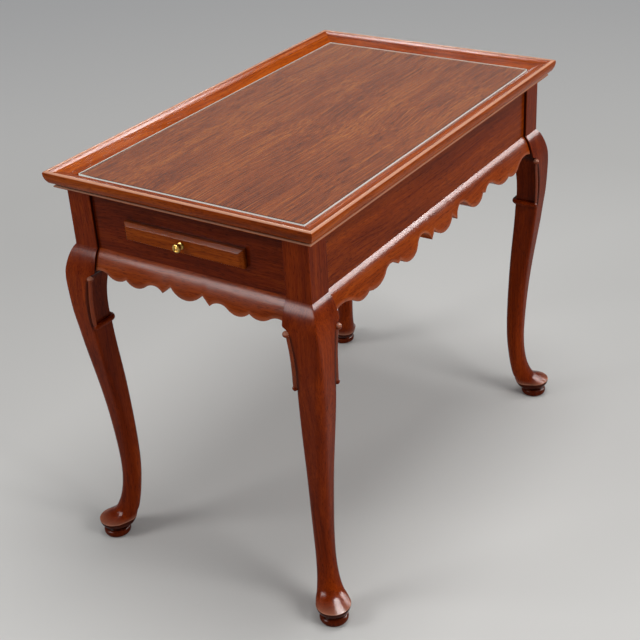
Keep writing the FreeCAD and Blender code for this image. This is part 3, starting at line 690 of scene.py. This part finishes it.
# Section as insets from the edge of the top and heights above the posts, each a point, or an arc through
# one point to another: fillet, recess, ovolo, crest, hollow, slope, rebate.
section_start = (9, 0)
section = [[(9, 0.4)], [(9.76, 2.24), (11.6, 3)], [(13, 3)], [(13, 5.6)],
           [(5, 7.4)], [(1.0, 15.2), (0, 22.4)], [(3.6, 26), (6.13, 24.96)], [(6.13, 23.66)],
           [(6.73, 24.7)], [(12.78, 22.66), (19.13, 22.0)], [(19.13, 21.2)], [(33.5, 14.1)],
           [(33.5, 10.5)], [(25, 10.5)], [(25, 0)]]

# Zones of the section painted dark as painted shade, in the recess, or painted pale as painted highlight, on
# the
# crest and on the fillet: the least and most inset, the least and most height, and the amount.
rim_shade_and_highlight_zones = [(12, 14, -1, 8, 0.9), (-1, 6.2, 24.4, 27, -1.3), (-1, 12, 1, 3.1, -1.1)]
rim_woods = {"x": mahogany("mahogany_lacquered_rim_long", "x", ("#6E2803", "#9C4206", "#BA5A0C"), (300, 12)),
             "y": mahogany("mahogany_lacquered_rim_short", "y", ("#5C2003", "#863405", "#A64C0B"), (300, 12))}
for side in side_turns:
    reach = half_width if side in ends else half_length
    rim = bmesh.new()
    patina = rim.verts.layers.float.new("patina")
    first = rim.verts.new((section_start[0], 0, rim_base + section_start[1]))
    vert = first
    for step in section:
        vert = draw_on(rim, vert, [(inset, 0, rim_base + height) for inset, height in step])
    rim.edges.new((vert, first))
    for vert in rim.verts:
        for least_in, most_in, low_edge, high_edge, amount in rim_shade_and_highlight_zones:
            if least_in < vert.co.x < most_in and low_edge < vert.co.z - rim_base < high_edge:
                vert[patina] = amount
        vert.co.y = vert.co.x - reach
    chain = list(rim.edges)
    verts, far_chain = extrude_chain(rim, chain)
    for vert in verts:
        vert.co.y = reach - vert.co.x
    bmesh.ops.contextual_create(rim, geom=chain)
    bmesh.ops.contextual_create(rim, geom=far_chain)
    long_edges = [edge for edge in rim.edges if abs(edge.verts[0].co.y - edge.verts[1].co.y) > long_edge
                  and edge.calc_face_angle(0) > arris_angle]
    bmesh.ops.bevel(rim, geom=long_edges, offset=moulding_round, offset_type="OFFSET", affect="EDGES",
                    segments=2, profile=0.5, material=-1)
    to_side(rim, side)
    make_piece(rim, "tray_rim_" + side, rim_woods[side_grain[side]], "table", "rim_" + side,
               sharp=30)

# Glass: one loose sheet of clear float glass, cut a little smaller than the tray and laid on the board,
# with its corners nipped round and its edges ground.
air_gap = 0.0002
corner_round = 2.0
ground_edge = 0.5
edge_slope = 0.3
low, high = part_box("glass_sheet")
low.z += air_gap
sheet = bmesh.new()
bmesh.ops.create_cube(sheet, size=1)
bmesh.ops.scale(sheet, vec=[1000 * (b - a) for a, b in zip(low, high)], verts=sheet.verts)
bmesh.ops.translate(sheet, vec=[500 * (a + b) for a, b in zip(low, high)], verts=sheet.verts)
corner_edges = [edge for edge in sheet.edges if abs(edge.verts[0].co.z - edge.verts[1].co.z) > 1]
bmesh.ops.bevel(sheet, geom=corner_edges, offset=corner_round, offset_type="OFFSET", affect="EDGES",
                segments=5, profile=0.5, material=-1)
level_edges = [edge for edge in sheet.edges if abs(edge.verts[0].co.z - edge.verts[1].co.z) < 0.01]
bmesh.ops.bevel(sheet, geom=level_edges, offset=ground_edge, offset_type="OFFSET", affect="EDGES", segments=2,
                profile=0.5, material=-1)
bmesh.ops.recalc_face_normals(sheet, faces=sheet.faces)

# Float glass: clear and mirror-smooth, faintly green through its thickness. Light on its way to the board
# and back passes straight through, so that the board under it is lit as evenly as the real one.
glass = new_material("glass_clear_float")
clear = add(glass, "ShaderNodeBsdfPrincipled", {"Base Color": hex_colour("#F4FBF8"), "Roughness": 0.0,
                                                "Transmission Weight": 1.0, "IOR": 1.52})
passing = add(glass, "ShaderNodeBsdfTransparent", {"Color": hex_colour("#F4FBF8")})
ray = add(glass, "ShaderNodeLightPath", {})
lit = add(glass, "ShaderNodeMixShader", {},
          {0: ray.outputs["Is Shadow Ray"], 1: clear.outputs[0], 2: passing.outputs[0]})
shown = add(glass, "ShaderNodeMixShader", {},
            {0: ray.outputs["Is Diffuse Ray"], 1: lit.outputs[0], 2: passing.outputs[0]})
tint = add(glass, "ShaderNodeVolumeAbsorption", {"Color": hex_colour("#7FD0B4"), "Density": 8.0})
add(glass, "ShaderNodeOutputMaterial", {}, {"Surface": shown.outputs[0], "Volume": tint.outputs[0]})

# Ground glass edge: a frosted, greenish white line. It gathers light from the whole sheet, and its small
# glow stands for that.
ground = new_material("glass_ground_edge")
frosted = add(ground, "ShaderNodeBsdfPrincipled", {"Base Color": hex_colour("#F4FCF9"), "Roughness": 0.35,
                                                   "IOR": 1.52, "Emission Strength": 0.3,
                                                   "Emission Color": hex_colour("#E8F6F0")})
add(ground, "ShaderNodeOutputMaterial", {}, {"Surface": frosted.outputs[0]})
for face in sheet.faces:
    face.material_index = 1 if abs(face.normal.z) < edge_slope else 0
glass_piece = make_piece(sheet, "tray_glass", glass, "table", "glass_sheet", sharp=20)
glass_piece.data.materials.append(ground)

# Studio: a plain pale floor, a soft sky of even light and three large soft lamps. Cards stand round the
# table as well, which show only as the sheen on the lacquer, each on the pieces that face it.
floor_half = 60.0
near_floor = 1.5
far_floor = 5.0
sky_strength = 0.26
aim = Vector((0, 0, 0.4))
floor_mesh = bmesh.new()
bmesh.ops.create_grid(floor_mesh, x_segments=1, y_segments=1, size=floor_half)
floor_data = bpy.data.meshes.new("studio_floor")
floor_mesh.to_mesh(floor_data)
floor_mesh.free()

# Backdrop paper: pale grey and matt, without any shine. Away from the lamps its colour is painted white, as
# painted light that makes up for the lamps' falloff, so that it meets the sky without a line.
paper = new_material("paper_backdrop_matt")
place = add(paper, "ShaderNodeTexCoord", {}).outputs["Object"]
away = add(paper, "ShaderNodeVectorMath", {"operation": "LENGTH"}, {0: place}).outputs["Value"]
painted_whitening = add(paper, "ShaderNodeMapRange", {"From Min": near_floor, "From Max": far_floor},
            {"Value": away}).outputs[0]
colour = add(paper, "ShaderNodeMix",
             {"data_type": "RGBA", 6: hex_colour("#CCCBC8"), 7: hex_colour("#FFFFFF")},
             {"Factor": painted_whitening}).outputs[2]
matt = add(paper, "ShaderNodeBsdfPrincipled", {"Roughness": 0.9, "Specular IOR Level": 0.0},
           {"Base Color": colour})
add(paper, "ShaderNodeOutputMaterial", {}, {"Surface": matt.outputs[0]})
floor_data.materials.append(paper)
floor = bpy.data.objects.new("studio_floor", floor_data)
bpy.context.scene.collection.objects.link(floor)

world = bpy.data.worlds.new("studio")
bpy.context.scene.world = world
world.use_nodes = True
world.node_tree.nodes["Background"].inputs["Color"].default_value = hex_colour("#F1F3F7")
world.node_tree.nodes["Background"].inputs["Strength"].default_value = sky_strength

meshes = [piece for piece in bpy.context.scene.objects if piece.type == "MESH"]
rims = [piece for piece in meshes if piece.name.startswith("tray_rim")]
legs = [piece for piece in meshes if piece.name.startswith("cabriole_leg")]
below_tray = [piece for piece in meshes
              if piece not in rims and piece.name not in ("tray_glass", "studio_floor")]

# Place, width in metres and power in watts, and for a card the pieces it shows on.
lamps = {"right": ((-0.3, -2.75, 2.1), 1.4, 42),
         "left": ((-2.1, 1.8, 2.3), 1.3, 30),
         "top": ((0.2, -0.3, 3.4), 1.6, 52)}
cards = {"right_card": ((2.2, -2.08, 1.97), 1.4, 340),
         "far_right_card": ((3.45, -1.55, 1.56), 1.4, 135),
         "left_card": ((-2.45, 1.29, 1.45), 1.2, 150),
         "far_card": ((1.5, 1.06, 2.3), 0.75, 60),
         "high_card": ((0.35, -1.05, 3.1), 1.5, 700)}
shows_on = {"right_card": below_tray, "far_right_card": below_tray, "left_card": below_tray,
            "far_card": rims, "high_card": legs}
for name, (spot, size, power) in {**lamps, **cards}.items():
    lamp = bpy.data.lights.new(name, "AREA")
    lamp.shape = "DISK"
    lamp.size = size
    lamp.energy = power
    holder = bpy.data.objects.new(name, lamp)
    holder.location = spot
    holder.rotation_euler = (aim - Vector(spot)).to_track_quat("-Z", "Y").to_euler()
    holder.visible_camera = False
    holder.visible_transmission = False
    holder.visible_diffuse = name in lamps
    holder.visible_glossy = name in cards
    if name in cards:
        receivers = bpy.data.collections.new("pieces the " + name + " shines on")
        for piece in shows_on[name]:
            receivers.objects.link(piece)
        holder.light_linking.receiver_collection = receivers
    bpy.context.scene.collection.objects.link(holder)

# Camera: where the photograph was taken from, above the front left corner, with its turn, tilt and slight
# roll. Its lens gives the photograph's field of view.
standpoint = (-1.53286, -1.03795, 1.32488)
azimuth, elevation, roll_angle = [math.radians(angle) for angle in (-55.29, 29.33, -3.7)]
photo_width = 640
focal_length_pixels = 1247.95
sensor_width = 36.0
back = Vector((math.sin(azimuth) * math.cos(elevation), -math.cos(azimuth) * math.cos(elevation),
               math.sin(elevation)))
right = Vector((math.cos(azimuth), math.sin(azimuth), 0))
up = back.cross(right)
rolled_right = right * math.cos(roll_angle) + up * math.sin(roll_angle)
rolled_up = up * math.cos(roll_angle) - right * math.sin(roll_angle)
lens = bpy.data.cameras.new("camera")
lens.sensor_width = sensor_width
lens.lens = sensor_width * focal_length_pixels / photo_width
camera = bpy.data.objects.new("camera", lens)
facing = Matrix((rolled_right, rolled_up, back)).transposed().to_4x4()
camera.matrix_world = Matrix.Translation(standpoint) @ facing
bpy.context.scene.collection.objects.link(camera)
bpy.context.scene.camera = camera
bpy.context.scene.view_settings.view_transform = "Standard"
